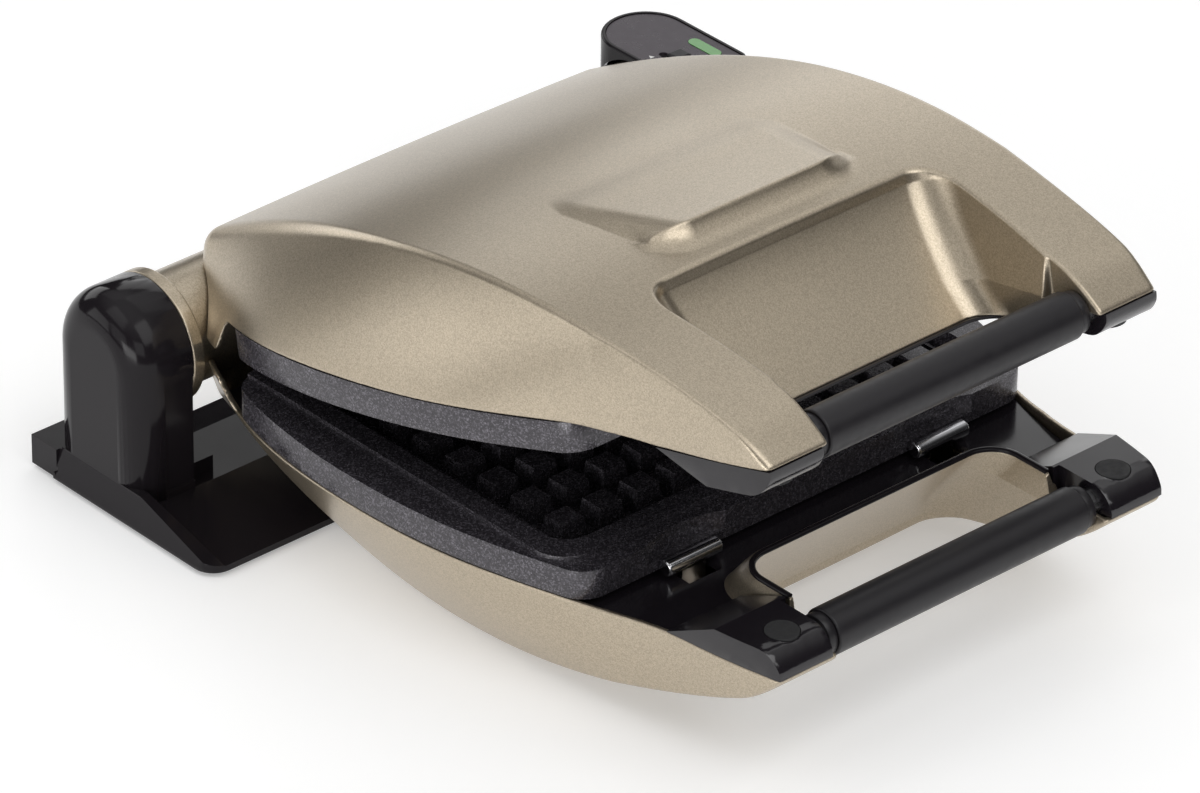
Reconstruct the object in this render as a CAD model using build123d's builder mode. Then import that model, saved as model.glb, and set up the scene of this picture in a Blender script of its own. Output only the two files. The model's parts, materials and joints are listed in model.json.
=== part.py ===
from build123d import *
import math
import os

# Turn-over waffle maker: two hinged heating halves on a swivel stand.
# Millimetres. X to the right, Y to the rear, Z up, table at z = 0.
# Everything is drawn with the swivel axis at y = 0 and moved by Y_SHIFT at the end.
# The swivel axis and the lid hinge share one line along X at z = AXIS_H.
# Each half is drawn in its own frame: closing plane at z = 0, outside upwards.

os.makedirs("parts", exist_ok=True)

# ---- driving dimensions -------------------------------------------------
AXIS_H = 61.5          # swivel axis above the table
OPEN_DEG = 11.4        # lid stands ajar by this angle
WALL = 2.5             # shell wall
RIM_Z = 14.0           # shell rim below the closing plane
DECK_Z = 16.0          # deck surface
SEAM_TIP = 10.6        # seam between cap and shell at the arm tip
HALF_GAP = 0.3         # each half stays this far from the closing plane
BARREL_R = 22.5        # hinge knuckles
BARREL_CLEAR = 23.3
PIN_R = 5.0
PIN_CLEAR = 0.05
KNUCKLE_IN = 62.0      # lid knuckles span KNUCKLE_IN..KNUCKLE_OUT
KNUCKLE_OUT = 119.6
RING_R = 26.6
RING_IN, RING_OUT = 120.0, 125.6
JOURNAL_R = 13.0
POST_IN, POST_OUT = 126.0, 152.5
BASE_OUT = 155.5       # half width of the base at the table
POST_R = 26.6
POST_FILLET = 13.0
BASE_BOTTOM = 2.0
BASE_FRONT, BASE_REAR, STUB_REAR = -71.0, 22.0, 36.0
Y_SHIFT = 137.75       # puts the origin under the middle of the whole appliance
TUBE_Y, TUBE_Z, TUBE_R = -300.0, 9.9, 9.3
ARM_IN = 66.8
PITCH = 18.2           # waffle grid pitch
PLATE_FRONT, PLATE_REAR = -227.0, -42.5
OPEN_W = 63.0          # finger opening half width
OPEN_Y0 = -258.0       # its rear edge at the closing plane
OPEN_Y1 = -227.2       # its rear edge at the outer surface
FOOT_Y, FOOT_Z, FOOT_W = -207.5, AXIS_H, 46.0

# outer profile of a half: (y, distance from the closing plane)
TOP = [(-0.5, 25.0), (-2.5, 30.0), (-8.0, 35.4), (-20.0, 39.4), (-40.0, 45.3), (-60.0, 50.3), (-80.0, 54.2),
       (-100.0, 57.1), (-120.0, 58.9), (-140.0, 59.6), (-160.0, 59.2), (-180.0, 57.8), (-200.0, 55.1), (-220.0, 51.0),
       (-240.0, 45.8), (-260.0, 39.6), (-280.0, 32.2), (-296.0, 25.0), (-305.5, 19.2), (-310.5, 14.6), (-313.0, 10.6)]
# plan outline of a half at the rim, mid and top levels: (half width, y)
RIM = [(100.0, 0.0), (105.5, -10.0), (110.4, -20.0), (114.9, -30.0), (119.6, -42.0), (124.4, -58.0), (128.3, -80.0), (130.3, -105.0),
       (130.2, -128.0), (128.7, -150.0), (124.9, -175.0), (118.7, -200.0), (111.9, -222.0), (105.9, -243.0), (102.6, -265.0), (100.2, -285.0), (97.8, -300.0), (95.2, -313.0), (93.0, -330.0)]
MID = [(96.0, 0.0), (96.8, -10.0), (98.8, -20.0), (101.9, -30.0), (109.7, -55.0), (115.3, -80.0), (118.1, -100.0), (119.6, -125.0),
       (119.2, -150.0), (116.8, -175.0), (112.4, -200.0), (107.6, -222.0), (103.2, -243.0), (99.6, -265.0), (96.8, -285.0), (95.0, -300.0), (93.6, -313.0), (91.8, -330.0)]
CRS = [(88.0, 0.0), (83.0, -10.0), (81.0, -20.0), (82.0, -30.0), (88.2, -55.0), (95.2, -80.0), (99.3, -100.0), (102.3, -125.0),
       (103.2, -150.0), (102.1, -175.0), (99.8, -200.0), (97.4, -222.0), (94.8, -243.0), (92.6, -265.0), (91.2, -285.0), (90.2, -300.0), (89.6, -313.0), (88.6, -330.0)]


def plan(pts, inset, z):
    """closed plan outline at level z"""
    p = [(x - inset, y) for x, y in pts]
    with BuildSketch(Plane.XY.offset(z)) as sk:
        with BuildLine():
            Spline([(x, y) for x, y in p])
            Line(p[-1], (-p[-1][0], p[-1][1]))
            Spline([(-x, y) for x, y in reversed(p)])
            Line((-p[0][0], p[0][1]), p[0])
        make_face()
    return sk


def profile(inset, y_rear=0.0):
    """side profile of a half, drawn on the YZ plane"""
    p = []
    n = len(TOP)
    for i, (y, z) in enumerate(TOP):
        a = TOP[max(i - 1, 0)]
        b = TOP[min(i + 1, n - 1)]
        ty, tz = b[0] - a[0], b[1] - a[1]
        d = math.hypot(ty, tz)
        p.append((y + inset * (-tz / d) * -1.0, z - inset * (-ty / d)))
    with BuildSketch(Plane.YZ) as sk:
        with BuildLine():
            Spline(p)
            Line(p[-1], (p[-1][0], -5.0))
            Line((p[-1][0], -5.0), (p[0][0], -5.0))
            Line((p[0][0], -5.0), p[0])
        make_face()
    return sk


def hull(inset):
    """solid inside the outer surface of a half, inset by a distance"""
    with BuildPart() as body:
        with BuildSketch(Plane.XY.offset(-5.0)) as s0:
            add(plan(RIM, inset, -5.0).sketch)
        extrude(amount=RIM_Z + 5.0)
        a = plan(RIM, inset, RIM_Z)
        b = plan(MID, inset, 36.0)
        c = plan(CRS, inset, 60.0)
        loft(sections=[a.sketch.faces()[0], b.sketch.faces()[0], c.sketch.faces()[0]])
    prof = profile(inset)
    with BuildPart() as slab:
        extrude(prof.sketch, amount=160.0, both=True)
    with BuildPart() as out:
        add(body.part)
        add(slab.part, mode=Mode.INTERSECT)
    return out


def prism_yz(points, x0, x1):
    """prism over a YZ polygon between two x planes"""
    with BuildPart() as out:
        with BuildSketch(Plane.YZ.offset(x0)):
            Polygon(*points, align=None)
        extrude(amount=x1 - x0)
    return out


def opening(grow, z_low=-8.0):
    """the finger opening: vertical sides, sloping rear wall, open to the front"""
    s = (OPEN_Y1 - OPEN_Y0) / 46.0
    pts = [(OPEN_Y0 + s * z_low + grow, z_low), (OPEN_Y0 + s * 70.0 + grow, 70.0), (-340.0, 70.0), (-340.0, z_low)]
    out = prism_yz(pts, -OPEN_W - grow, OPEN_W + grow)
    with BuildPart() as rounded:
        add(out.part)
        rear = rounded.edges().filter_by(lambda e: abs(e.center().Y - (OPEN_Y0 + s * (70.0 + z_low) / 2 + grow)) < 1.0 and abs(abs(e.center().X) - OPEN_W - grow) < 1.0)
        fillet(rear, radius=12.0 + grow)
        # the arms stand further apart where the grip tube runs
        add(prism_yz([(-288.0 + grow, z_low), (-288.0 + grow, 70.0), (-340.0, 70.0), (-340.0, z_low)], -ARM_IN - grow, ARM_IN + grow).part)
    return rounded


def cyl_x(r, x0, x1, y=0.0, z=0.0):
    with BuildPart() as out:
        with BuildSketch(Plane.YZ.offset(x0)):
            with Locations((y, z)):
                Circle(r)
        extrude(amount=x1 - x0)
    return out


UP = Location((0, 0, AXIS_H)) * Location((0, 0, 0), (-OPEN_DEG, 0, 0))
names = []


def put(part, label):
    part = part.moved(Location((0, Y_SHIFT, 0)))
    part.label = label
    export_step(part, "parts/" + label + ".step")
    names.append(label)


def both(builder, stem):
    """write the lid's copy and the mirrored lower copy of a piece"""
    with BuildPart() as up:
        add(builder.part.moved(UP))
    put(up.part, "upper_" + stem)
    with BuildPart() as low:
        add(mirror(builder.part, about=Plane.XY, mode=Mode.PRIVATE).moved(Location((0, 0, AXIS_H))))
    put(low.part, "lower_" + stem)


# ---- the shell of a half ------------------------------------------------
outer = hull(0.0)
inner = hull(WALL)
hole = opening(0.0)
collar = opening(WALL)

with BuildPart() as foot:
    # wedge that rises to a straight front crest and fades out to the rear
    with BuildSketch(Plane.YZ.offset(-FOOT_W)):
        Polygon((FOOT_Y, 30.0), (FOOT_Y, FOOT_Z - 1.2), (FOOT_Y + 1.2, FOOT_Z), (FOOT_Y + 6.0, FOOT_Z), (FOOT_Y + 75.0, 58.0), (FOOT_Y + 75.0, 30.0), align=None)
    extrude(amount=2 * FOOT_W)
    fillet(foot.edges().filter_by(Axis.Z).group_by(Axis.Y)[0], radius=16.0)

with BuildPart() as shell:
    add(outer.part)
    add(foot.part)
    add(inner.part, mode=Mode.SUBTRACT)
    with BuildPart(mode=Mode.PRIVATE) as wall:
        add(outer.part)
        add(collar.part, mode=Mode.INTERSECT)
    add(wall.part)
    add(hole.part, mode=Mode.SUBTRACT)
    # rim: closing side cut away, high at the collar
    # and coming down beside the hinge to cover the rear corners
    rim_line = [(10.0, -10.0), (10.0, 2.0), (-35.0, 2.0), (-37.2, 4.2), (-40.2, 12.2), (-42.4, RIM_Z), (-226.0, RIM_Z), (-262.0, 11.0), (-313.5, SEAM_TIP), (-340.0, SEAM_TIP), (-340.0, -10.0)]
    add(prism_yz(rim_line, -OPEN_W - WALL - 80.0, -OPEN_W - WALL).part, mode=Mode.SUBTRACT)
    add(prism_yz(rim_line, OPEN_W + WALL, OPEN_W + WALL + 80.0).part, mode=Mode.SUBTRACT)
    add(prism_yz([(10.0, -10.0), (10.0, RIM_Z), (OPEN_Y0 + 15.0, RIM_Z), (OPEN_Y0 + 15.0, 1.5), (-285.0, 1.5), (-285.0, SEAM_TIP), (-340.0, SEAM_TIP), (-340.0, -10.0)], -OPEN_W - WALL - 0.001, OPEN_W + WALL + 0.001).part, mode=Mode.SUBTRACT)
    add(cyl_x(BARREL_CLEAR, -140.0, 140.0).part, mode=Mode.SUBTRACT)
    add(cyl_x(6.2, -84.0, 84.0, TUBE_Y, TUBE_Z).part, mode=Mode.SUBTRACT)
both(shell, "shell")


def box(x0, x1, y0, y1, z0, z1):
    with BuildPart() as out:
        with BuildSketch(Plane.XY.offset(z0)):
            with Locations(((x0 + x1) / 2, (y0 + y1) / 2)):
                Rectangle(x1 - x0, y1 - y0)
        extrude(amount=z1 - z0)
    return out


# ---- deck: inner tray with ramps and caps on the arms --------------------
lining = hull(WALL + 0.3)
around = opening(WALL + 0.3)
with BuildPart() as deck:
    add(lining.part)
    add(box(-150, 150, -306.5, -28.0, DECK_Z, DECK_Z + 2.5).part, mode=Mode.INTERSECT)
    # heater window below the baking area
    add(box(-96, 96, -212, -52, 0, 40).part, mode=Mode.SUBTRACT)
    for side in (-1, 1):
        with BuildPart(mode=Mode.PRIVATE) as cap:
            x0, x1 = (ARM_IN, 110.0) if side > 0 else (-110.0, -ARM_IN)
            with BuildSketch(Plane.YZ.offset(x0)):
                with BuildLine():
                    Polyline((-262.0, 10.9), (-284.0, HALF_GAP), (-302.0, HALF_GAP))
                    Spline((-302.0, HALF_GAP), (-308.5, 2.4), (-312.0, 6.2), (-313.0, SEAM_TIP - 0.1), tangents=[(-1, 0), (0, 1)])
                    Line((-313.0, SEAM_TIP - 0.1), (-262.0, 10.9))
                make_face()
            extrude(amount=x1 - x0)
            add(outer.part, mode=Mode.INTERSECT)
        add(cap.part)
        # root of the cap inside the arm
        with BuildPart(mode=Mode.PRIVATE) as root:
            add(lining.part)
            xa, xb = (ARM_IN + 0.3, 96.0) if side > 0 else (-96.0, -ARM_IN - 0.3)
            add(box(xa, xb, -308.0, -289.0, 8.0, DECK_Z + 2.5).part, mode=Mode.INTERSECT)
        add(root.part)
        with BuildPart(mode=Mode.PRIVATE) as rise:
            add(lining.part)
            xa, xb = (ARM_IN + 0.3, 104.0) if side > 0 else (-104.0, -ARM_IN - 0.3)
            add(box(xa, xb, -292.0, -268.0, 10.5, DECK_Z + 2.5).part, mode=Mode.INTERSECT)
        add(rise.part)
    add(around.part, mode=Mode.SUBTRACT)
    # slots for the release clips, seats for the pads and the handle rod
    for x in (-62.0, 62.0):
        add(box(x - 8, x + 8, -238.5, -226.5, 10, 30).part, mode=Mode.SUBTRACT)
    with Locations((-82.5, -300.0, 0.0), (82.5, -300.0, 0.0)):
        Cylinder(6.7, 4.6, mode=Mode.SUBTRACT)
    add(cyl_x(6.0, -84.0, 84.0, TUBE_Y, TUBE_Z).part, mode=Mode.SUBTRACT)
both(deck, "deck")

# ---- removable waffle plate ----------------------------------------------
ROWS, COLS = 8, 5
CAV_X0, CAV_X1 = 4.5, 98.0
CAV_Y0, CAV_Y1 = -203.5, -50.0
CUBE_X, CUBE_Y = 10.4, 9.7
FLOOR_Z, CUBE_TOP = 11.5, 2.8
LAND_Z = 1.8
with BuildPart() as plate:
    with BuildSketch(Plane.XY.offset(HALF_GAP)):
        add(plan(RIM, 0.6, 0.0).sketch)
        with Locations((0, (PLATE_FRONT + PLATE_REAR) / 2)):
            Rectangle(290.0, PLATE_REAR - PLATE_FRONT, mode=Mode.INTERSECT)
    extrude(amount=RIM_Z - 0.4 - HALF_GAP)
    fillet([e for e in plate.edges().filter_by(Axis.Z) if abs(e.center().X) > 80], radius=12.0)
    # flange a step below the frame around the baking area
    with BuildSketch(Plane.XY.offset(HALF_GAP)):
        Rectangle(300.0, 600.0)
        with Locations((0, -117.5)):
            RectangleRounded(227.0, 200.0, 14.0, mode=Mode.SUBTRACT)
    extrude(amount=LAND_Z - HALF_GAP, mode=Mode.SUBTRACT)
    # sloping rim of the baking area
    with BuildSketch(Plane.XY.offset(HALF_GAP)):
        with Locations((0, -127.5)):
            RectangleRounded(209.0, 162.0, 12.0)
    extrude(amount=5.2, taper=45, mode=Mode.SUBTRACT)
    # cavities
    with BuildSketch(Plane.XY.offset(HALF_GAP)):
        for s in (-1, 1):
            with Locations((s * (CAV_X0 + CAV_X1) / 2, (CAV_Y0 + CAV_Y1) / 2)):
                RectangleRounded(CAV_X1 - CAV_X0, CAV_Y1 - CAV_Y0, 7.0)
    extrude(amount=FLOOR_Z - HALF_GAP, mode=Mode.SUBTRACT)
    # weight relief under the flange
    with BuildSketch(Plane.XY.offset(RIM_Z - 0.4)):
        add(plan(RIM, 7.5, 0.0).sketch)
        with Locations((0, (PLATE_FRONT + PLATE_REAR) / 2)):
            RectangleRounded(260.0, PLATE_REAR - PLATE_FRONT - 15.0, 12.0, mode=Mode.INTERSECT)
        with Locations((0, (CAV_Y0 + CAV_Y1) / 2)):
            RectangleRounded(2 * CAV_X1 + 6.0, CAV_Y1 - CAV_Y0 + 6.0, 9.0, mode=Mode.SUBTRACT)
    extrude(amount=-7.6, mode=Mode.SUBTRACT)
    # cubes
    with BuildSketch(Plane.XY.offset(CUBE_TOP)):
        for s in (-1, 1):
            with Locations((s * (CAV_X0 + CAV_X1) / 2, (CAV_Y0 + CAV_Y1) / 2)):
                with GridLocations(PITCH, PITCH, COLS, ROWS):
                    Rectangle(CUBE_X, CUBE_Y)
    extrude(amount=FLOOR_Z - CUBE_TOP + 0.2, taper=-8)
    # the upper edge curves back above each release clip
    with Locations((-62.0, -268.2, 4.0), (62.0, -268.2, 4.0)):
        Cylinder(45.8, 11.0, mode=Mode.SUBTRACT)
both(plate, "waffle_plate")

# ---- release clips --------------------------------------------------------
CLIP_Y, CLIP_Z = -230.6, 11.6
for side, word in ((-1, "left"), (1, "right")):
    with BuildPart() as clip:
        x = side * 62.0
        add(cyl_x(3.3, x - 13.0, x + 13.0, CLIP_Y, CLIP_Z).part)
        fillet(clip.edges().filter_by(GeomType.CIRCLE), radius=1.0)
        add(box(x - 6.0, x + 6.0, CLIP_Y - 1.5, CLIP_Y + 1.5, CLIP_Z, 24.0).part)
        add(box(x - 6.0, x + 6.0, CLIP_Y - 1.5, CLIP_Y + 9.0, 21.5, 24.0).part)
    both(clip, "clip_" + word)

# ---- heating --------------------------------------------------------------
with BuildPart() as heater:
    with BuildLine() as loop:
        FilletPolyline((-20.0, -62.0, 23.5), (-84.0, -62.0, 23.5), (-84.0, -200.0, 23.5), (84.0, -200.0, 23.5), (84.0, -62.0, 23.5), (20.0, -62.0, 23.5), radius=16.0)
    with BuildSketch(Plane(origin=(-20.0, -62.0, 23.5), z_dir=(-1, 0, 0))):
        Circle(3.25)
    sweep()
both(heater, "heater")

with BuildPart() as pan:
    add(box(-104.0, 104.0, -216.0, -48.0, DECK_Z + 2.5, 29.0).part)
    fillet(pan.edges().filter_by(Axis.Z), radius=8.0)
    add(box(-103.2, 103.2, -215.2, -48.8, DECK_Z, 28.2).part, mode=Mode.SUBTRACT)
both(pan, "reflector")

with BuildPart() as supports:
    for x, y in ((-84.0, -130.0), (84.0, -130.0), (0.0, -200.0)):
        add(box(x - 5, x + 5, y - 5, y + 5, 23.5, 28.2).part)
    add(heater.part, mode=Mode.SUBTRACT)
both(supports, "heater_supports")

with BuildPart() as fuse:
    add(cyl_x(3.0, -12.0, 12.0, -130.0, 25.2).part)
both(fuse, "thermal_fuse")

# ---- handle ---------------------------------------------------------------
with BuildPart() as grip:
    add(cyl_x(TUBE_R, -62.5, 62.5, TUBE_Y, TUBE_Z).part)
    fillet(grip.edges().filter_by(GeomType.CIRCLE), radius=0.8)
    add(cyl_x(5.9, -70.0, 70.0, TUBE_Y, TUBE_Z).part, mode=Mode.SUBTRACT)
both(grip, "grip")
with BuildPart() as rod:
    add(cyl_x(5.9, -83.5, 83.5, TUBE_Y, TUBE_Z).part)
both(rod, "handle_rod")
with BuildPart() as collars:
    add(cyl_x(8.3, 62.5, 66.5, TUBE_Y, TUBE_Z).part)
    add(cyl_x(8.3, -66.5, -62.5, TUBE_Y, TUBE_Z).part)
    add(cyl_x(5.9, -70.0, 70.0, TUBE_Y, TUBE_Z).part, mode=Mode.SUBTRACT)
both(collars, "grip_collars")
with BuildPart() as pads:
    with Locations((-82.5, -300.0, 1.2), (82.5, -300.0, 1.2)):
        Cylinder(6.4, 2.1)
both(pads, "bumper_pads")

# ---- hinge ----------------------------------------------------------------
with BuildPart() as centre:
    add(cyl_x(BARREL_R, -KNUCKLE_IN + 0.5, KNUCKLE_IN - 0.5).part)
    fillet(centre.edges().filter_by(GeomType.CIRCLE), radius=1.0)
    add(box(-50.0, 50.0, -46.0, 0.0, DECK_Z + 2.6, DECK_Z + 5.6).part)
    add(cyl_x(PIN_R, -70.0, -40.0).part, mode=Mode.SUBTRACT)
    add(cyl_x(PIN_R, 40.0, 70.0).part, mode=Mode.SUBTRACT)
with BuildPart() as low:
    add(mirror(centre.part, about=Plane.XY, mode=Mode.PRIVATE).moved(Location((0, 0, AXIS_H))))
put(low.part, "lower_hinge_barrel")

for side, word in ((-1, "left"), (1, "right")):
    a, b = sorted((side * KNUCKLE_IN, side * KNUCKLE_OUT))
    with BuildPart() as knuckle:
        add(cyl_x(BARREL_R, a, b).part)
        fillet(knuckle.edges().filter_by(GeomType.CIRCLE), radius=1.0)
        c, d = sorted((side * 66.0, side * 94.0))
        add(box(c, d, -46.0, 0.0, DECK_Z + 2.6, DECK_Z + 5.6).part)
        add(cyl_x(PIN_R + PIN_CLEAR, a - 1, b + 1).part, mode=Mode.SUBTRACT)
    with BuildPart() as up:
        add(knuckle.part.moved(UP))
    put(up.part, "upper_knuckle_" + word)
    a, b = sorted((side * 42.0, side * (RING_OUT - 0.4)))
    with BuildPart() as pin:
        add(cyl_x(PIN_R, a, b, 0.0, AXIS_H).part)
    put(pin.part, "hinge_pin_" + word)
    # swivel ring with the journal that turns in the post
    a, b = sorted((side * RING_IN, side * RING_OUT))
    c, d = sorted((side * RING_OUT, side * 147.0))
    with BuildPart() as ring:
        add(cyl_x(RING_R, a, b, 0.0, AXIS_H).part)
        fillet(ring.edges().filter_by(GeomType.CIRCLE), radius=0.8)
        add(cyl_x(JOURNAL_R, c, d, 0.0, AXIS_H).part)
        e, f = sorted((side * (RING_OUT + 1.0), side * 150.0))
        add(cyl_x(8.0, e, f, 0.0, AXIS_H).part, mode=Mode.SUBTRACT)
        e, f = sorted((side * 110.0, side * (RING_OUT - 0.4)))
        add(cyl_x(PIN_R, e, f, 0.0, AXIS_H).part, mode=Mode.SUBTRACT)
    put(ring.part, "swivel_ring_" + word)
    e, f = sorted((side * (POST_IN + 0.5), side * 147.0))
    with BuildPart() as bush:
        add(cyl_x(15.0, e, f, 0.0, AXIS_H).part)
        add(cyl_x(JOURNAL_R + PIN_CLEAR, e - 1, f + 1, 0.0, AXIS_H).part, mode=Mode.SUBTRACT)
    put(bush.part, "swivel_bush_" + word)

# ---- stand ----------------------------------------------------------------
STAND = [(BASE_FRONT, BASE_BOTTOM), (BASE_FRONT, 4.6), (-POST_R, 9.0), (4.0, 9.0), (BASE_REAR, 4.6), (BASE_REAR, BASE_BOTTOM)]
with BuildPart() as base:
    add(prism_yz(STAND, -BASE_OUT, BASE_OUT).part)
    for side in (-1, 1):
        # side walls rise towards the posts
        a, b = sorted((side * (POST_OUT - 4.0), side * BASE_OUT))
        add(prism_yz([(BASE_FRONT, 2.0), (BASE_FRONT, 4.8), (-POST_R, 15.5), (20.0, 15.5), (20.0, 2.0)], a, b).part)
        a, b = sorted((side * 112.0, side * (BASE_OUT - 1.0)))
        add(box(a, b, -20.0, STUB_REAR, BASE_BOTTOM, 14.5).part)
    with BuildPart(mode=Mode.PRIVATE) as outline:
        with BuildSketch():
            with Locations((0, (BASE_FRONT + 60.0) / 2)):
                RectangleRounded(2 * BASE_OUT, 60.0 - BASE_FRONT, 9.0)
        extrude(amount=20.0)
    add(outline.part, mode=Mode.INTERSECT)
    for side in (-1, 1):
        # the side walls lean in to the foot of the post
        with BuildPart(mode=Mode.PRIVATE) as lean:
            with BuildSketch(Plane.XZ.offset(100.0)):
                Polygon((side * BASE_OUT, 3.0), (side * (BASE_OUT + 3), 3.0), (side * (BASE_OUT + 3), 19.0), (side * POST_OUT, 19.0), (side * POST_OUT, 15.0), align=None)
            extrude(amount=-121.0)
        add(lean.part, mode=Mode.SUBTRACT)
    add(box(-BASE_OUT + 12, BASE_OUT - 12, BASE_FRONT + 9, BASE_REAR - 6, BASE_BOTTOM - 1, 3.2).part, mode=Mode.SUBTRACT)
    # cable inlet
    with BuildPart(mode=Mode.PRIVATE) as inlet:
        with BuildSketch(Plane.XZ.offset(-STUB_REAR - 1)):
            with Locations((134.0, 7.6)):
                Circle(4.3)
        extrude(amount=10.0)
    add(inlet.part, mode=Mode.SUBTRACT)
    # wiring passage up into the right post
    add(box(131, 148, -12, 12, 3.1, 20).part, mode=Mode.SUBTRACT)
put(base.part, "base_plate")

with BuildPart() as cover:
    add(box(-BASE_OUT + 12.3, BASE_OUT - 12.3, BASE_FRONT + 9.3, BASE_REAR - 6.3, BASE_BOTTOM, 3.1).part)
    with Locations((-130, -50, 2.0), (130, -50, 2.0), (-130, 4, 2.0), (130, 4, 2.0)):
        Cylinder(2.6, 4, mode=Mode.SUBTRACT)
put(cover.part, "base_cover")
with BuildPart() as screws:
    with Locations((-130, -50, 2.5), (130, -50, 2.5), (-130, 4, 2.5), (130, 4, 2.5)):
        Cylinder(2.5, 1.0)
put(screws.part, "base_screws")
with BuildPart() as feet:
    with Locations((-142, 27, 1.0), (142, 27, 1.0), (-138, -58, 1.0), (138, -58, 1.0)):
        Cylinder(6.0, 2.0)
put(feet.part, "rubber_feet")
with BuildPart() as gland:
    with BuildSketch(Plane.XZ.offset(-STUB_REAR - 1.5)):
        with Locations((134.0, 7.6)):
            Circle(5.0)
    extrude(amount=1.5)
    with BuildSketch(Plane.XZ.offset(-STUB_REAR)):
        with Locations((134.0, 7.6)):
            Circle(4.2)
    extrude(amount=8.0)
    with BuildSketch(Plane.XZ.offset(-STUB_REAR - 1.5)):
        with Locations((134.0, 7.6)):
            Circle(3.3)
    extrude(amount=20.0, mode=Mode.SUBTRACT)
put(gland.part, "cable_gland")

CONSOLE_BOTTOM, CONSOLE_TOP = 15.0, 30.0
CON_X, CON_Y, CON_R, CON_FRONT = 138.1, 14.7, 18.2, -25.0


def arch(inset, x0, x1, z0):
    with BuildPart() as out:
        with BuildSketch(Plane.YZ.offset(x0)):
            with BuildLine():
                r = POST_R - inset
                Line((-r, z0), (-r, AXIS_H))
                ThreePointArc((-r, AXIS_H), (0, AXIS_H + r), (r, AXIS_H))
                Line((r, AXIS_H), (r, z0))
                Line((r, z0), (-r, z0))
            make_face()
        extrude(amount=x1 - x0)
    return out


for side, word in ((-1, "left"), (1, "right")):
    a, b = sorted((side * POST_IN, side * POST_OUT))
    with BuildPart() as post:
        add(arch(0.0, a, b, 9.0).part)
        rounded = [e for e in post.edges() if abs(e.center().X - side * POST_OUT) < 0.1 and e.center().Z > 12.0]
        fillet(rounded, radius=POST_FILLET)
        e, f = sorted((side * (POST_IN + 3.0), side * (POST_OUT - 4.0)))
        add(arch(7.0, e, f, 12.0).part, mode=Mode.SUBTRACT)
        e, f = sorted((side * (POST_IN + 1.0), side * 148.0))
        add(cyl_x(16.8, e, f, 0.0, AXIS_H).part)
        e, f = sorted((side * (POST_IN - 1.0), side * 147.0))
        add(cyl_x(15.0, e, f, 0.0, AXIS_H).part, mode=Mode.SUBTRACT)
        # recessed panel on the front wall
        e, f = sorted((side * (POST_IN - 1.0), side * (POST_OUT - POST_FILLET)))
        add(box(e, f, -POST_R - 1.0, -POST_R + 0.7, 12.0, AXIS_H - 4.0).part, mode=Mode.SUBTRACT)
        # toe that meets the stub behind the post
        if side > 0:
            add(box(100, 170, -40, 40, AXIS_H + CONSOLE_BOTTOM - 0.2, 120).part, mode=Mode.SUBTRACT)
            add(box(131, 148, -12, 12, 8, 14).part, mode=Mode.SUBTRACT)
    base_cut = post.part - base.part
    with BuildPart() as clean:
        add(base_cut)
    put(clean.part, "post_" + word)


def tongue(inset, z0, z1):
    with BuildPart() as out:
        with BuildSketch(Plane.XY.offset(z0)):
            with BuildLine():
                r = CON_R - inset
                Line((CON_X - r, CON_FRONT + inset), (CON_X - r, CON_Y))
                ThreePointArc((CON_X - r, CON_Y), (CON_X, CON_Y + r), (CON_X + r, CON_Y))
                Line((CON_X + r, CON_Y), (CON_X + r, CON_FRONT + inset))
                Line((CON_X + r, CON_FRONT + inset), (CON_X - r, CON_FRONT + inset))
            make_face()
        extrude(amount=z1 - z0)
    return out


with BuildPart() as console:
    add(tongue(0.0, AXIS_H + CONSOLE_BOTTOM, AXIS_H + CONSOLE_TOP).part)
    fillet(console.edges().filter_by(Axis.Z).group_by(Axis.Y)[0], radius=4.0)
    fillet(console.edges().group_by(Axis.Z)[-1], radius=1.0)
    add(tongue(1.8, AXIS_H + CONSOLE_BOTTOM + 2.4, AXIS_H + CONSOLE_TOP + 1).part, mode=Mode.SUBTRACT)
    add(cyl_x(28.2, 110.0, POST_IN + 0.4, 0.0, AXIS_H).part, mode=Mode.SUBTRACT)
put(console.part, "console_housing")

LAMP_X, LAMP_Y = 147.6, -8.3
SLOT_X, SLOT_Y, TRAVEL = 131.5, -11.0, 6.0
with BuildPart() as panel:
    add(tongue(2.0, AXIS_H + CONSOLE_TOP - 2.2, AXIS_H + CONSOLE_TOP - 0.4).part)
    with BuildSketch(Plane.XY.offset(AXIS_H + 20)):
        with Locations((LAMP_X, LAMP_Y)):
            SlotOverall(17.0, 5.2, rotation=90)
        with Locations((SLOT_X, SLOT_Y)):
            SlotOverall(2 * TRAVEL + 9.6, 3.6, rotation=90)
    extrude(amount=30.0, mode=Mode.SUBTRACT)
put(panel.part, "console_panel")
with BuildPart() as lamp:
    with BuildSketch(Plane.XY.offset(AXIS_H + CONSOLE_TOP - 2.2)):
        with Locations((LAMP_X, LAMP_Y)):
            SlotOverall(16.8, 5.0, rotation=90)
    extrude(amount=2.0)
put(lamp.part, "lamp_lens")
with BuildPart() as bulb:
    add(box(LAMP_X - 2, LAMP_X + 2, LAMP_Y - 3, LAMP_Y + 3, AXIS_H + CONSOLE_TOP - 8.0, AXIS_H + CONSOLE_TOP - 2.3).part)
put(bulb.part, "lamp")
with BuildPart() as slider:
    add(box(SLOT_X - 1.4, SLOT_X + 1.4, SLOT_Y - 2.6, SLOT_Y + 2.6, AXIS_H + 26.4, AXIS_H + CONSOLE_TOP + 0.4).part)
    add(box(SLOT_X - 3.6, SLOT_X + 3.6, SLOT_Y - 3.2, SLOT_Y + 3.2, AXIS_H + CONSOLE_TOP - 0.1, AXIS_H + CONSOLE_TOP + 4.0).part)
    fillet(slider.edges().group_by(Axis.Z)[-1], radius=1.0)
put(slider.part, "thermostat_slider")
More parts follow.
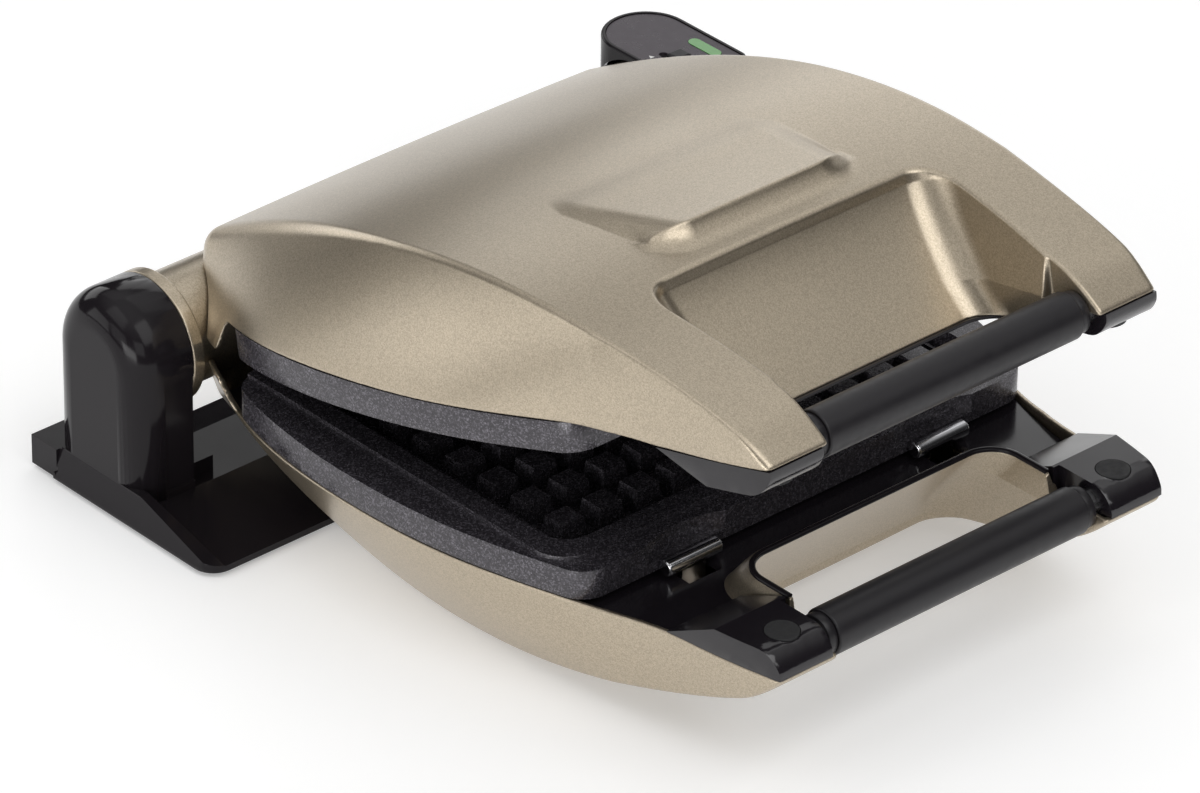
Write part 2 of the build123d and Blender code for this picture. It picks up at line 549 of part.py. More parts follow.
with BuildPart() as thermostat:
    add(box(SLOT_X - 4.5, SLOT_X + 8.0, SLOT_Y - 10.0, SLOT_Y + 20.0, AXIS_H + 17.6, AXIS_H + 26.0).part)
    add(cyl_x(28.9, 110.0, POST_IN + 3.0, 0.0, AXIS_H).part, mode=Mode.SUBTRACT)
put(thermostat.part, "thermostat")
with BuildPart() as block:
    add(box(131.0, 147.0, -10.0, 10.0, 20.0, 32.0).part)
put(block.part, "terminal_block")
print(len(names), names)
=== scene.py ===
import json
import math
import random

import bmesh
import bpy
import numpy as np
from mathutils import Matrix, Vector


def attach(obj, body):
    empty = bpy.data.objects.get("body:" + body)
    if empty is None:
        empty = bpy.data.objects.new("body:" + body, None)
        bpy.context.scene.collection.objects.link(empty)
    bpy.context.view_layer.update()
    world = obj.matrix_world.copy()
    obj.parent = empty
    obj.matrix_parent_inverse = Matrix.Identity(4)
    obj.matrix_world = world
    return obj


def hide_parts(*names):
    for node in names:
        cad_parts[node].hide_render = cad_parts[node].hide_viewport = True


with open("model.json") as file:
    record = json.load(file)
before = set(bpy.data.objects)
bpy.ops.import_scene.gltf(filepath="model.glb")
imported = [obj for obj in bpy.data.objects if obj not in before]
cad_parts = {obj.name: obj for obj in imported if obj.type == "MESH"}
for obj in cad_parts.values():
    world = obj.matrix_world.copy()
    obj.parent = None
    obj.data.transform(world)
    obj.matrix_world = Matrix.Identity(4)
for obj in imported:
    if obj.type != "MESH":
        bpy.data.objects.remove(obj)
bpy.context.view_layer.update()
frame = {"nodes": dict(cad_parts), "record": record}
NODES = frame["nodes"]
SCENE = bpy.context.scene
SCENE.view_settings.view_transform = "Standard"
SCENE.view_settings.look = "None"
SCENE.view_settings.exposure = 0.0
rng = random.Random(7)

AXIS_H = 0.0615
OPEN = math.radians(11.4)
# frame of each half -> world, lengths in metres
Y0 = 0.13775           # the swivel axis stands this far behind the origin
M_UP = Matrix.Translation((0, Y0, AXIS_H)) @ Matrix.Rotation(-OPEN, 4, "X")
M_LOW = Matrix.Translation((0, Y0, AXIS_H)) @ Matrix.Diagonal((1, 1, -1, 1))


# ---------------------------------------------------------------- materials
def srgb(r, g, b):
    def f(v):
        v = v / 255.0
        return v / 12.92 if v <= 0.04045 else ((v + 0.055) / 1.055) ** 2.4
    return (f(r), f(g), f(b), 1.0)


class Mat:
    """short way to wire a procedural material"""

    def __init__(self, name, color, metallic=0.0, rough=0.4, **sockets):
        self.m = bpy.data.materials.new(name)
        self.m.use_nodes = True
        self.t = self.m.node_tree
        self.n = self.t.nodes
        self.l = self.t.links
        self.p = self.n["Principled BSDF"]
        self.p.inputs["Base Color"].default_value = color
        self.p.inputs["Metallic"].default_value = metallic
        self.p.inputs["Roughness"].default_value = rough
        for k, v in sockets.items():
            self.p.inputs[k.replace("_", " ")].default_value = v
        tc = self.n.new("ShaderNodeTexCoord")
        self.co = tc.outputs["Object"]
        self.normal = None

    def noise(self, scale, detail=2.0, rough=0.5, stretch=None):
        n = self.n.new("ShaderNodeTexNoise")
        n.inputs["Scale"].default_value = scale
        n.inputs["Detail"].default_value = detail
        n.inputs["Roughness"].default_value = rough
        if stretch:
            mp = self.n.new("ShaderNodeMapping")
            mp.inputs["Scale"].default_value = stretch
            self.l.new(self.co, mp.inputs["Vector"])
            self.l.new(mp.outputs["Vector"], n.inputs["Vector"])
        else:
            self.l.new(self.co, n.inputs["Vector"])
        return n.outputs["Fac"]

    def cells(self, scale, feature="F1"):
        n = self.n.new("ShaderNodeTexVoronoi")
        n.feature = feature
        n.inputs["Scale"].default_value = scale
        self.l.new(self.co, n.inputs["Vector"])
        return n

    def remap(self, src, a, b, c, d):
        n = self.n.new("ShaderNodeMapRange")
        n.inputs["From Min"].default_value = a
        n.inputs["From Max"].default_value = b
        n.inputs["To Min"].default_value = c
        n.inputs["To Max"].default_value = d
        self.l.new(src, n.inputs["Value"])
        return n.outputs["Result"]

    def roughness(self, src, lo, hi, a=0.3, b=0.7):
        self.l.new(self.remap(src, a, b, lo, hi), self.p.inputs["Roughness"])
        return self

    def bump(self, src, strength, dist):
        n = self.n.new("ShaderNodeBump")
        n.inputs["Strength"].default_value = strength
        n.inputs["Distance"].default_value = dist
        self.l.new(src, n.inputs["Height"])
        if self.normal is not None:
            self.l.new(self.normal, n.inputs["Normal"])
        self.normal = n.outputs["Normal"]
        self.l.new(self.normal, self.p.inputs["Normal"])
        return self

    def color_mix(self, fac, c1, c2, a=0.3, b=0.7):
        n = self.n.new("ShaderNodeMix")
        n.data_type = "RGBA"
        n.inputs["A"].default_value = c1
        n.inputs["B"].default_value = c2
        self.l.new(self.remap(fac, a, b, 0.0, 1.0), n.inputs["Factor"])
        self.l.new(n.outputs["Result"], self.p.inputs["Base Color"])
        return n


def champagne(name="champagne_lacquer"):
    k = Mat(name, srgb(180, 167, 147), 0.92, 0.34, Coat_Weight=0.3, Coat_Roughness=0.2)
    flakes = k.cells(2600.0)
    fine = k.noise(1800.0, 2.0, 0.6)
    big = k.noise(14.0, 3.0)
    k.color_mix(flakes.outputs["Color"], srgb(166, 154, 135), srgb(196, 183, 162), 0.1, 0.9)
    k.roughness(big, 0.31, 0.36)
    k.bump(flakes.outputs["Color"], 0.16, 0.00012)
    k.bump(fine, 0.12, 0.0001)
    return k.m


def black_gloss(name="black_gloss_moulding"):
    k = Mat(name, srgb(27, 24, 27), 0.0, 0.12, Specular_IOR_Level=0.19)
    k.roughness(k.noise(30.0, 4.0, 0.6), 0.08, 0.17)
    k.bump(k.noise(60.0, 2.0), 0.05, 0.0004)
    k.bump(k.noise(900.0, 2.0), 0.03, 0.0001)
    return k.m


def deck_gloss(name="deck_gloss_moulding"):
    k = Mat(name, srgb(27, 24, 28), 0.0, 0.16, Specular_IOR_Level=0.62)
    k.roughness(k.noise(26.0, 4.0, 0.6), 0.12, 0.22)
    k.bump(k.noise(55.0, 2.0), 0.05, 0.0004)
    k.bump(k.noise(900.0, 2.0), 0.03, 0.0001)
    return k.m


def coating(name="nonstick_coating"):
    k = Mat(name, srgb(70, 66, 72), 0.35, 0.28, Specular_IOR_Level=0.9)
    flakes = k.cells(1900.0)
    k.color_mix(flakes.outputs["Color"], srgb(52, 49, 54), srgb(120, 116, 124), 0.55, 1.0)
    k.roughness(k.noise(900.0, 3.0), 0.23, 0.34)
    k.bump(flakes.outputs["Color"], 0.14, 0.00012)
    k.bump(k.noise(700.0, 3.0), 0.08, 0.0001)
    return k.m


def soft_black(name="soft_black_grip"):
    k = Mat(name, srgb(31, 29, 32), 0.0, 0.42, Specular_IOR_Level=0.38)
    k.roughness(k.noise(300.0, 3.0), 0.36, 0.46)
    k.bump(k.noise(1500.0, 2.0), 0.15, 0.00008)
    return k.m


def metal(name, c, rough, stretch=None, strength=0.06, lo=None, hi=None):
    k = Mat(name, c, 1.0, rough)
    k.roughness(k.noise(120.0, 3.0, 0.6, stretch), lo or rough * 0.8, hi or rough * 1.3)
    k.bump(k.noise(240.0, 3.0, 0.6, stretch), strength, 0.0002)
    return k.m


def plain(name, c, rough, bump_scale=800.0, strength=0.12, metallic=0.0, **kw):
    k = Mat(name, c, metallic, rough, **kw)
    k.roughness(k.noise(bump_scale * 0.3, 3.0), rough * 0.85, min(1.0, rough * 1.15))
    k.bump(k.noise(bump_scale, 3.0), strength, 0.00015)
    return k.m


MATS = {
    "champagne": champagne(),
    "black_gloss": black_gloss(),
    "plate_coating": coating(),
    "soft_black": soft_black(),
    "steel": metal("brushed_steel", srgb(178, 178, 180), 0.28, (1, 12, 12)),
    "clip_metal": metal("polished_clip", srgb(205, 205, 208), 0.14, (10, 1, 1), 0.05),
    "heater_sheath": metal("heater_sheath", srgb(96, 90, 84), 0.42, None, 0.2),
    "aluminised": metal("aluminised_sheet", srgb(168, 170, 172), 0.35, None, 0.1),
    "ceramic": plain("white_ceramic", srgb(226, 222, 210), 0.55),
    "rubber": plain("dark_rubber", srgb(36, 36, 37), 0.7, 1200.0, 0.25),
    "bush": plain("acetal_bush", srgb(210, 206, 196), 0.4),
    "panel": plain("console_panel", srgb(62, 55, 62), 0.3, 900.0, 0.08, 0.3),
    "lens_green": plain("green_lens", srgb(96, 172, 84), 0.16, 500.0, 0.05, 0.0, Transmission_Weight=0.25, Coat_Weight=0.6),
    "bulb": plain("lamp_bulb", srgb(200, 205, 200), 0.1, 500.0, 0.05),
    "white_plastic": plain("white_plastic", srgb(228, 228, 226), 0.4),
}
slot_of = {p["node"]: p["material_slot"] for p in frame["record"].get("subparts", [])}


def paint(obj, slot, mat=None):
    obj.data.materials.clear()
    obj.data.materials.append(mat or MATS[slot])


for name, obj in NODES.items():
    s = slot_of.get(name)
    if s is None:
        print("no slot for", name)
        s = "black_gloss"
    paint(obj, s)
deck = deck_gloss()
for name in ("upper_deck", "lower_deck"):
    paint(NODES[name], None, deck)


# small edge radii on the moulded and cast pieces
BEVELS = {"post_left": 0.6, "post_right": 0.6, "base_plate": 0.8, "console_housing": 0.4, "lower_deck": 0.5, "upper_deck": 0.5,
          "lower_waffle_plate": 0.7, "upper_waffle_plate": 0.7, "lower_clip_left": 0.3, "lower_clip_right": 0.3,
          "upper_clip_left": 0.3, "upper_clip_right": 0.3, "console_panel": 0.15, "lamp_lens": 0.3,
          "lower_bumper_pads": 0.35, "upper_bumper_pads": 0.35, "thermostat_slider": 0.2, "rubber_feet": 0.4,
          "swivel_ring_left": 0.3, "swivel_ring_right": 0.3, "lower_grip_collars": 0.4, "upper_grip_collars": 0.4}
for name, w in BEVELS.items():
    o = NODES[name]
    weld = o.modifiers.new("weld", "WELD")
    weld.merge_threshold = 0.00002
    bv = o.modifiers.new("edges", "BEVEL")
    bv.width = w * 0.001
    bv.segments = 2
    bv.limit_method = "ANGLE"
    bv.angle_limit = math.radians(28.0)
    bv.use_clamp_overlap = True
    bv.harden_normals = True


# ------------------------------------------------------- smooth shell meshes
# Each shell is an implicit solid in the frame of its half, in millimetres
# (closing plane at z = 0, outside upwards), meshed on a grid and pulled onto
# the exact surface, with normals taken from its gradient.
def poly(points, deg):
    y = np.array([p[0] for p in points], float)
    v = np.array([p[1] for p in points], float)
    wgt = np.array([p[2] if len(p) > 2 else 1.0 for p in points])
    c = np.polynomial.chebyshev.Chebyshev.fit(y, v, deg, domain=[-316.0, 4.0], w=wgt)
    ys = np.arange(-330.0, 20.0, 0.25)
    return ys, c(np.clip(ys, -316.0, 4.0))


def at(tab, y):
    return np.interp(y, tab[0], tab[1])


T_TOP = poly([(-2, 33.0), (-8, 35.4), (-20, 39.4), (-40, 45.3), (-60, 50.3), (-80, 54.2), (-100, 57.0), (-120, 58.8), (-140, 59.5), (-160, 59.2),
              (-180, 57.8), (-200, 55.0), (-220, 51.0), (-240, 45.8), (-260, 39.6), (-280, 32.2), (-300, 23.1), (-308, 18.8), (-313, 15.5)], 8)
W_RIM = poly([(0, 100.0, 2), (-10, 105.5), (-20, 110.4), (-30, 114.9), (-42, 119.6), (-58, 124.4), (-80, 128.3), (-105, 130.3), (-128, 130.2),
              (-150, 128.7), (-175, 124.9), (-200, 118.7), (-222, 111.9), (-243, 105.9), (-265, 102.6), (-285, 100.2), (-300, 97.8), (-313, 95.2, 2)], 9)
W_MID = poly([(0, 96.0, 2), (-10, 96.8), (-20, 98.8), (-30, 101.9), (-55, 109.7), (-80, 115.3), (-100, 118.1), (-125, 119.6), (-150, 119.2),
              (-175, 116.8), (-200, 112.4), (-222, 107.6), (-243, 103.2), (-265, 99.6), (-285, 96.8), (-300, 95.0), (-313, 93.6, 2)], 9)
W_TOP = poly([(0, 88.0), (-10, 83.0), (-20, 81.0), (-30, 82.0), (-55, 88.2), (-80, 95.2), (-100, 99.3), (-125, 102.3), (-150, 103.2),
              (-175, 102.1), (-200, 99.8), (-222, 97.4), (-243, 94.8), (-265, 92.6), (-285, 91.2), (-300, 90.2), (-313, 89.6)], 8)
WALL = 2.4


def smax(a, b, k):
    h = np.clip(k - np.abs(a - b), 0.0, None) / k
    return np.maximum(a, b) + h * h * k * 0.25


def smin(a, b, k):
    return -smax(-a, -b, k)


def corner(a, b, r):
    """rounded intersection: exact distance with a corner of radius r"""
    u, v = np.maximum(a + r, 0.0), np.maximum(b + r, 0.0)
    return np.minimum(np.maximum(a + r, b + r), 0.0) + np.sqrt(u * u + v * v) - r


def rim_z(y):
    """closing edge of the shell: seam at the arms, 14 mm along the plate, low beside the hinge"""
    return np.interp(y, [-313.5, -266.0, -262.0, -258.0, -230.0, -226.0, -222.0, -43.4, -42.2, -40.4, -37.2, -35.8, -34.0, 10.0],
                     [10.6, 11.0, 11.1, 11.4, 13.7, 13.9, 14.0, 14.0, 13.5, 11.8, 4.4, 2.7, 2.1, 2.0])


def f_hull(x, y, z):
    """outer skin of a half, without the foot; f_shell adds the foot"""
    r, m, t = at(W_RIM, y), at(W_MID, y), at(W_TOP, y)
    # quadratic through the three levels 14, 36 and 60
    l0 = (z - 36) * (z - 60) / (22.0 * 46.0)
    l1 = -(z - 14) * (z - 60) / (22.0 * 24.0)
    l2 = (z - 14) * (z - 36) / (46.0 * 24.0)
    w = r * l0 + m * l1 + t * l2
    # faint ridge where the arm starts
    w = w + 0.45 * np.exp(-np.abs(y + 240.0 - (z - 14.0) * 0.22) / 9.0)
    slope = r * (2 * z - 96) / 1012.0 - m * (2 * z - 74) / 528.0 + t * (2 * z - 50) / 1104.0
    ds = (x - w) / np.sqrt(1.0 + slope * slope)
    top = at(T_TOP, y) + 1.1 * (1.0 - (x / 100.0) ** 2)
    g = (at(T_TOP, y + 1.0) - at(T_TOP, y - 1.0)) * 0.5
    dt = (z - top) / np.sqrt(1.0 + g * g)
    # crease: soft at the rear, crisp towards the arms
    k = 4.6 - 3.0 * np.clip((-y - 20.0) / 110.0, 0.0, 1.0)
    f = smax(ds, dt, k)
    nose = (z - (11.9 + 0.95 * (y + 313.0))) / 1.38
    f = smax(f, nose, 2.6)
    f = smax(f, -313.0 - y, 1.6)
    f = smax(f, y + 0.6, 9.0)
    return f


def f_foot(x, y, z):
    """pad the turned unit rests on: flat top, crisp front crest, rolled shoulders, wider towards the rear"""
    back = np.clip(y + 210.0, 0.0, 46.0)
    wide = 0.2 * back
    d = np.clip(x - 33.0 - wide, 0.0, 13.8) / 14.0
    zt = 60.85 - 7.5 * (1.0 - np.sqrt(1.0 - d * d)) - np.clip(y + 168.0, 0.0, None) ** 2 * 0.006
    deep = np.clip(61.0 - z, 0.0, 20.0)
    plan_d = corner(x - 47.0 - wide - 0.25 * deep, -210.0 - 0.28 * deep - y, 16.0)
    return smax(plan_d, (z - zt) * 0.95, 0.8)


def f_open(x, y, z):
    """finger opening: positive outside it"""
    u = np.clip(z / 46.0, -0.3, 1.3)
    yw = -258.0 + 32.8 * np.where(u < 1.0, u + 0.4 * u * u * (1.0 - u), 1.0 + 0.25 * (u - 1.0))
    b = (y - yw) * 0.80
    # the sides flare outwards above the grip
    a = x - 63.0 - 0.22 * np.clip(z - 14.0, 0.0, 60.0)
    o = corner(a, b, 12.0)
    # wider where the grip tube runs
    o2 = corner(x - 66.8, y + 288.0, 1.5)
    return smin(o, o2, 1.5)


def f_shell(x, y, z):
    t = np.clip((-198.0 - y) / 10.0, 0.0, 1.0)
    skin = smin(f_hull(x, y, z), f_foot(x, y, z), 2.0 + 5.0 * t * t * (3 - 2 * t))
    o = f_open(x, y, z)
    inner = f_hull(x, y, z) + WALL
    inner = smin(inner, f_foot(x, y, z) + WALL, 1.5)
    # hollow: inside the inner skin and away from the collar
    hollow = smax(inner, WALL - o, 1.2)
    f = smax(skin, -hollow, 1.0)
    f = smax(f, -o, 1.5)
    rim = rim_z(y)
    # soft step between the collar rim and the outer rim
    s = np.clip((o - 1.8) / 1.4, 0.0, 1.0)
    low = np.clip((y + 287.6) / 2.4, 0.0, 1.0) * np.clip((-236.0 - y) / 2.0, 0.0, 1.0)
    cut = rim - low * (rim - 1.6) * (1.0 - s)
    f = smax(f, cut - z, 1.1)
    f = smax(f, 23.3 - np.sqrt(y * y + z * z), 1.1)
    # bore for the handle rod
    f = smax(f, np.where(x < 84.0, 6.2 - np.sqrt((y + 300.0) ** 2 + (z - 9.9) ** 2), -50.0), 0.3)
    return f


def nets(fn, lo, hi, h):
    """surface net of fn < 0 on x >= 0, mirrored to both sides"""
    xs = np.arange(0.0, hi[0] + h, h)
    ys = np.arange(lo[1], hi[1] + h, h)
    zs = np.arange(lo[2], hi[2] + h, h)
    f = np.empty((len(xs), len(ys), len(zs)), np.float32)
    Y, Z = np.meshgrid(ys, zs, indexing="ij")
    for i, x in enumerate(xs):
        f[i] = fn(np.full_like(Y, x), Y, Z)
    f = np.concatenate([f[:0:-1], f], 0)
    x0 = -xs[-1]
    s = f < 0
    nx, ny, nz = f.shape
    cnt = np.zeros((nx - 1, ny - 1, nz - 1), np.int8)
    for i in (0, 1):
        for j in (0, 1):
            for k in (0, 1):
                cnt += s[i:nx - 1 + i, j:ny - 1 + j, k:nz - 1 + k]
    act = (cnt > 0) & (cnt < 8)
    ijk = np.argwhere(act)
    idx = np.full(act.shape, -1, np.int64)
    idx[act] = np.arange(len(ijk))
    acc = np.zeros((len(ijk), 3))
    num = np.zeros(len(ijk))
    I, J, K = ijk.T
    for ax in range(3):
        for a in (0, 1):
            for b in (0, 1):
                o0 = [0, 0, 0]
                o0[(ax + 1) % 3], o0[(ax + 2) % 3] = a, b
                o1 = list(o0)
                o1[ax] = 1
                v0 = f[I + o0[0], J + o0[1], K + o0[2]].astype(float)
                v1 = f[I + o1[0], J + o1[1], K + o1[2]].astype(float)
                m = (v0 < 0) != (v1 < 0)
                t = np.where(m, v0 / np.where(v0 == v1, 1, v0 - v1), 0)
                p = np.tile(np.array(o0, float), (len(ijk), 1))
                p[:, ax] += t
                acc[m] += p[m]
                num[m] += 1
    pos = (ijk + acc / num[:, None]) * h + np.array([x0, ys[0], zs[0]])
    quads = []
    for ax in range(3):
        b, c = (ax + 1) % 3, (ax + 2) % 3
        sl0 = [slice(None)] * 3
        sl1 = [slice(None)] * 3
        sl0[ax], sl1[ax] = slice(0, -1), slice(1, None)
        m = s[tuple(sl0)] != s[tuple(sl1)]
        e = np.argwhere(m)
        e = e[(e[:, b] > 0) & (e[:, c] > 0) & (e[:, b] < f.shape[b] - 1) & (e[:, c] < f.shape[c] - 1)]
        inside = s[e[:, 0], e[:, 1], e[:, 2]]
        q = []
        for db, dc in ((1, 1), (0, 1), (0, 0), (1, 0)):
            g = e.copy()
            g[:, b] -= db
            g[:, c] -= dc
            q.append(idx[g[:, 0], g[:, 1], g[:, 2]])
        q = np.array(q).T
        q[~inside] = q[~inside][:, ::-1]
        quads.append(q)
    return pos, np.concatenate(quads)


def gradient(fn, p, e=0.06):
    g = np.empty_like(p)
    for k in range(3):
        d = np.zeros(3)
        d[k] = e
        a, b = p + d, p - d
        g[:, k] = fn(np.abs(a[:, 0]), a[:, 1], a[:, 2]) - fn(np.abs(b[:, 0]), b[:, 1], b[:, 2])
    return g / (2 * e)


def pull(fn, p, steps=3, limit=0.5):
    for _ in range(steps):
        g = gradient(fn, p)
        v = fn(np.abs(p[:, 0]), p[:, 1], p[:, 2])
        d = -(v / np.maximum((g * g).sum(1), 0.2))[:, None] * g
        n = np.linalg.norm(d, axis=1)
        p = p + d * np.minimum(1.0, limit / np.maximum(n, 1e-9))[:, None]
    return p


def thin(me, ratio):
    o = bpy.data.objects.new("thin", me)
    SCENE.collection.objects.link(o)
    md = o.modifiers.new("d", "DECIMATE")
    md.ratio = ratio
    dg = bpy.context.evaluated_depsgraph_get()
    out = bpy.data.meshes.new_from_object(o.evaluated_get(dg))
    bpy.data.objects.remove(o)
    return out


def implicit_mesh(name, fn, lo, hi, h, ratio):
    pos, quads = nets(fn, lo, hi, h)
    pos = pull(fn, pos)
    me = bpy.data.meshes.new(name)
    me.from_pydata(pos.tolist(), [], quads.tolist())
    me.validate()
    if ratio < 1:
        me = thin(me, ratio)
    co = np.empty(len(me.vertices) * 3)
    me.vertices.foreach_get("co", co)
    p = pull(fn, co.reshape(-1, 3), 2, 0.3)
    tris = [tuple(f.vertices) for f in me.polygons]
    g = gradient(fn, p)
    n = g / np.maximum(np.linalg.norm(g, axis=1), 1e-9)[:, None]
    return p, n, tris


def place(name, data, mat, slot, body, node):
    """put a mesh made in millimetres of a half's frame into the scene"""
    p, n, faces = data
    mirror = mat is M_LOW
    m3 = np.array(mat.to_3x3())
    off = np.array(mat.translation)
    q = (p * 0.001) @ m3.T + off
    nn = n @ m3.T
    me = bpy.data.meshes.new(name)
    me.from_pydata(q.tolist(), [], [f[::-1] for f in faces] if mirror else faces)
    me.polygons.foreach_set("use_smooth", [True] * len(me.polygons))
    me.normals_split_custom_set_from_vertices(nn.tolist())
    o = bpy.data.objects.new(name, me)
    SCENE.collection.objects.link(o)
    me.materials.append(MATS[slot])
    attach(o, body)
    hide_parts(node)
    return o


H_GRID = 0.8
shell_mesh = implicit_mesh("shell", f_shell, (0, -316, -1), (137, 3, 64.5), H_GRID, 0.4)
print("shell mesh", len(shell_mesh[0]), len(shell_mesh[2]))
place("upper_shell_skin", shell_mesh, M_UP, "champagne", "upper_half", "upper_shell")
place("lower_shell_skin", shell_mesh, M_LOW, "champagne", "lower_half", "lower_shell")



# ------------------------------------------------------------ small add-ons
def ribbon(name, path, profile, mats, slot, bodies):
    """profile swept along an open outline in the frame of a half, in millimetres"""
    n = len(path)
    verts = []
    for i, (x, y) in enumerate(path):
        a, b = path[max(i - 1, 0)], path[min(i + 1, n - 1)]
        tx, ty = b[0] - a[0], b[1] - a[1]
        d = math.hypot(tx, ty)
        nx, ny = -ty / d, tx / d
        for o, z in profile:
            verts.append((x + nx * o, y + ny * o, z))
    m = len(profile)
    faces = []
    for i in range(n - 1):
        for k in range(m):
            faces.append((i * m + k, (i + 1) * m + k, (i + 1) * m + (k + 1) % m, i * m + (k + 1) % m))
    faces.append(tuple(range(m)))
    faces.append(tuple((n - 1) * m + k for k in reversed(range(m))))
    for tag, mat, body in zip(("upper_", "lower_"), mats, bodies):
        me = bpy.data.meshes.new(tag + name)
        me.from_pydata([tuple(mat @ Vector((v[0] * 0.001, v[1] * 0.001, v[2] * 0.001))) for v in verts], [], faces)
        bm = bmesh.new()
        bm.from_mesh(me)
        bmesh.ops.recalc_face_normals(bm, faces=bm.faces)
        for f in bm.faces:
            f.smooth = True
        for e in bm.edges:
            e.smooth = e.calc_face_angle(0.0) < 0.9
        bm.to_mesh(me)
        bm.free()
        o = bpy.data.objects.new(tag + name, me)
        SCENE.collection.objects.link(o)
        me.materials.append(MATS[slot])
        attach(o, body)


def lip_path():
    r, hx, y0, y1 = 13.2, 64.2, -256.8, -284.6
    pts = [(-hx, y1), (-hx, -278.0)]
    for k in range(15):
        a = math.pi - math.pi / 2 * k / 14
        pts.append((-hx + r + r * math.cos(a), y0 - r + r * math.sin(a)))
    for k in range(15):
        a = math.pi / 2 - math.pi / 2 * k / 14
        pts.append((hx - r + r * math.cos(a), y0 - r + r * math.sin(a)))
    pts += [(hx, -278.0), (hx, y1)]
    return pts


# black edge of the deck that runs along the finger opening
ribbon("deck_edge", lip_path(), [(-1.15, 1.9), (-1.2, 1.0), (-0.9, 0.62), (-0.3, 0.5), (0.3, 0.5), (0.9, 0.62), (1.2, 1.0), (1.15, 1.9)],
       (M_UP, M_LOW), "black_gloss", ("upper_half", "lower_half"))


def printed(name, shapes, z):
    """flat white marks on the console panel; shapes are lists of outlines"""
    verts, faces = [], []
    for sh in shapes:
        b = len(verts)
        k = len(sh)
        verts += [(x * 0.001, y * 0.001 + Y0, z) for x, y in sh] + [(x * 0.001, y * 0.001 + Y0, z + 0.00004) for x, y in sh]
        faces.append(tuple(b + k + i for i in range(k)))
        faces.append(tuple(b + i for i in reversed(range(k))))
        faces += [(b + i, b + (i + 1) % k, b + k + (i + 1) % k, b + k + i) for i in range(k)]
    me = bpy.data.meshes.new(name)
    me.from_pydata(verts, [], faces)
    o = bpy.data.objects.new(name, me)
    SCENE.collection.objects.link(o)
    me.materials.append(MATS["white_plastic"])
    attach(o, "stand")
    return o


PANEL_Z = AXIS_H + 0.0296 + 0.00002
marks = [[(125.4, -1.2), (127.6, -1.2), (126.5, 0.9)]]
for k in range(5):
    y = -17.0 + 3.0 * k
    marks.append([(134.3, y - 0.16), (135.6 + (0.5 if k % 2 == 0 else 0.0), y - 0.16), (135.6 + (0.5 if k % 2 == 0 else 0.0), y + 0.16), (134.3, y + 0.16)])
printed("browning_scale", marks, PANEL_Z)
for k, t in enumerate("135"):
    cu = bpy.data.curves.new("scale_number_" + t, "FONT")
    cu.body = t
    cu.size = 0.0032
    cu.extrude = 0.00003
    cu.resolution_u = 2
    tmp = bpy.data.objects.new("tmp", cu)
    SCENE.collection.objects.link(tmp)
    me = bpy.data.meshes.new_from_object(tmp.evaluated_get(bpy.context.evaluated_depsgraph_get()))
    bpy.data.objects.remove(tmp)
    me.transform(Matrix.Translation((0.1372, Y0 + (-17.0 + 6.0 * k - 1.1) * 0.001, PANEL_Z + 0.00003)))
    me.materials.clear()
    me.materials.append(MATS["white_plastic"])
    bm = bmesh.new()
    bm.from_mesh(me)
    bmesh.ops.remove_doubles(bm, verts=bm.verts, dist=0.000001)
    bm.to_mesh(me)
    bm.free()
    o = bpy.data.objects.new("scale_number_" + t, me)
    SCENE.collection.objects.link(o)
    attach(o, "stand")


# ------------------------------------------------------------------- stage
def floor():
    bm = bmesh.new()
    n = 24
    size = 9.0
    vs = [[bm.verts.new((-size / 2 + size * i / n, -size / 2 + size * j / n, 0.0)) for j in range(n + 1)] for i in range(n + 1)]
    for i in range(n):
        for j in range(n):
            bm.faces.new((vs[i][j], vs[i + 1][j], vs[i + 1][j + 1], vs[i][j + 1]))
    me = bpy.data.meshes.new("floor")
    bm.to_mesh(me)
    bm.free()
    o = bpy.data.objects.new("floor", me)
    SCENE.collection.objects.link(o)
    k = Mat("pale_floor", (0.86, 0.86, 0.86, 1.0), 0.0, 0.6, Emission_Color=(1.0, 1.0, 1.0, 1.0), Emission_Strength=0.285)
    k.roughness(k.noise(3.0, 2.0), 0.55, 0.65)
    me.materials.append(k.m)
    return o


floor()


def area(name, loc, target, size, power, color=(1, 1, 1)):
    d = bpy.data.lights.new(name, "AREA")
    d.shape = "RECTANGLE"
    d.size, d.size_y = size
    d.energy = power
    d.color = color
    o = bpy.data.objects.new(name, d)
    SCENE.collection.objects.link(o)
    o.location = loc
    o.rotation_euler = (Vector(target) - Vector(loc)).to_track_quat("-Z", "Y").to_euler()
    return o


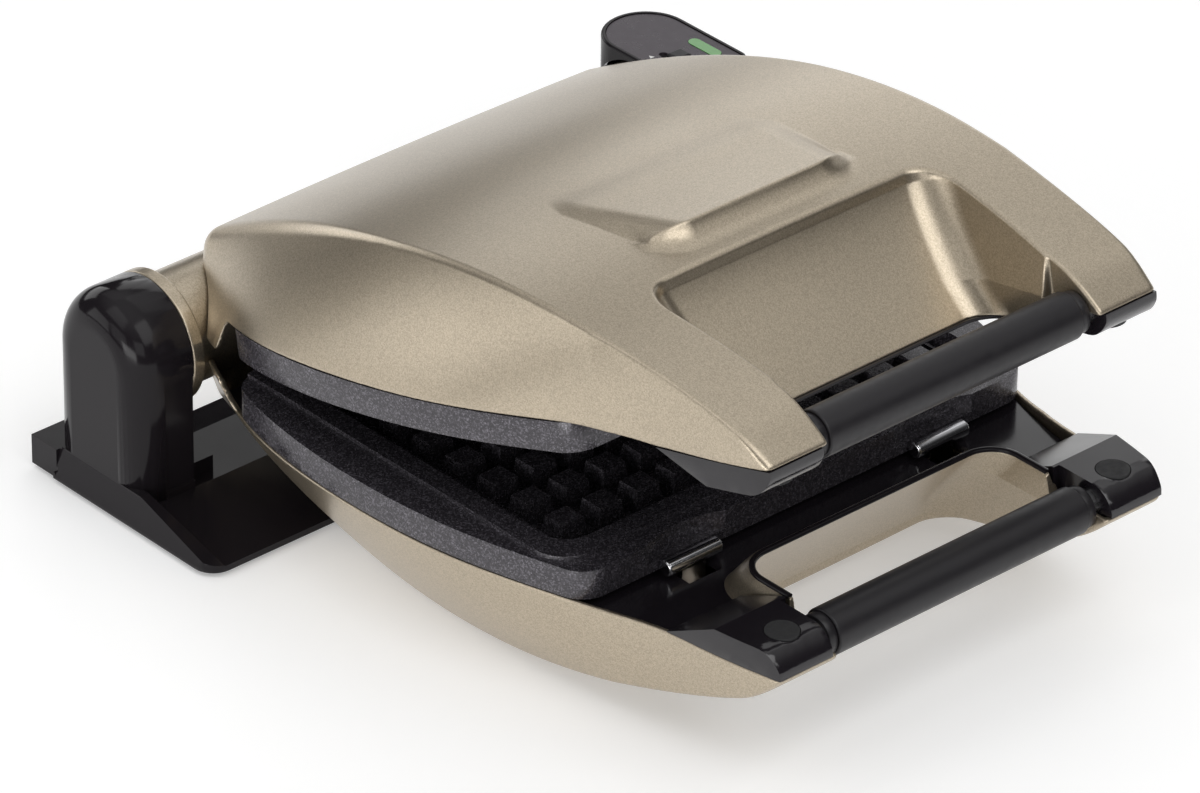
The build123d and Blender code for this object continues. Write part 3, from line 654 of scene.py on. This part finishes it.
area("top_front_soft", (0.1, -1.4, 1.8), (0, 0, 0.06), (1.9, 1.5), 17.0)
area("top_left_soft", (-1.3, 0.4, 1.8), (0, 0, 0.06), (1.4, 1.2), 4.6)
area("top_back_soft", (0.5, 1.5, 1.8), (0, 0, 0.06), (1.5, 1.2), 1.4)
area("top_right_soft", (1.4, 0.5, 1.8), (0, 0, 0.06), (1.4, 1.2), 2.4)
area("rear_right_soft", (1.8, 1.6, 1.0), (0, 0, 0.06), (1.4, 1.1), 5.4)
area("rear_right_low_soft", (2.2, 1.7, 0.45), (0, 0, 0.06), (1.6, 0.7), 2.4)
area("rear_soft", (0.2, 2.5, 0.9), (0, 0, 0.06), (1.5, 0.9), 8.5)
area("right_low_soft", (2.6, 0.3, 0.6), (0, 0, 0.06), (1.6, 0.8), 2.6)
area("left_rear_soft", (-1.9, 1.5, 0.6), (0, 0, 0.06), (1.3, 0.9), 5.8)
area("left_front_soft", (-1.7, -1.9, 1.1), (0, 0, 0.06), (1.3, 1.0), 5.0)
area("left_soft", (-2.4, 0.2, 0.8), (0, 0, 0.06), (1.3, 1.0), 3.8)
area("left_low_soft", (-2.3, -0.7, 0.35), (0, 0, 0.06), (1.4, 0.6), 13.5)

world = bpy.data.worlds.new("studio")
SCENE.world = world
world.use_nodes = True
wt = world.node_tree
bg = wt.nodes["Background"]
tc = wt.nodes.new("ShaderNodeTexCoord")
sep = wt.nodes.new("ShaderNodeSeparateXYZ")
ramp = wt.nodes.new("ShaderNodeValToRGB")
wt.links.new(tc.outputs["Generated"], sep.inputs["Vector"])
wt.links.new(sep.outputs["Z"], ramp.inputs["Fac"])
wt.links.new(ramp.outputs["Color"], bg.inputs["Color"])
cr = ramp.color_ramp
cr.elements[0].position = 0.0
cr.elements[0].color = (0.02, 0.02, 0.021, 1)
cr.elements[1].position = 1.0
cr.elements[1].color = (1.0, 1.0, 1.0, 1)
e = cr.elements.new(0.3)
e.color = (0.02, 0.02, 0.021, 1)
e = cr.elements.new(0.55)
e.color = (0.06, 0.06, 0.06, 1)
bg.inputs["Strength"].default_value = 0.92

# ------------------------------------------------------------------ camera
cam_d = bpy.data.cameras.new("camera")
cam = bpy.data.objects.new("camera", cam_d)
SCENE.collection.objects.link(cam)
cam_d.sensor_width = 36.0
cam_d.sensor_fit = "HORIZONTAL"
cam_d.lens = 238.59
cam_d.clip_end = 50.0
right = Vector((0.74415, -0.66788, 0.0128))
up = Vector((0.33925, 0.39435, 0.85405))
fwd = Vector((0.57545, 0.6312, -0.52004))
R = Matrix((right, up, -fwd)).transposed()
cam.matrix_world = Matrix.Translation((-1.7158, -1.99448 + Y0, 1.58881)) @ R.to_4x4()
SCENE.camera = cam
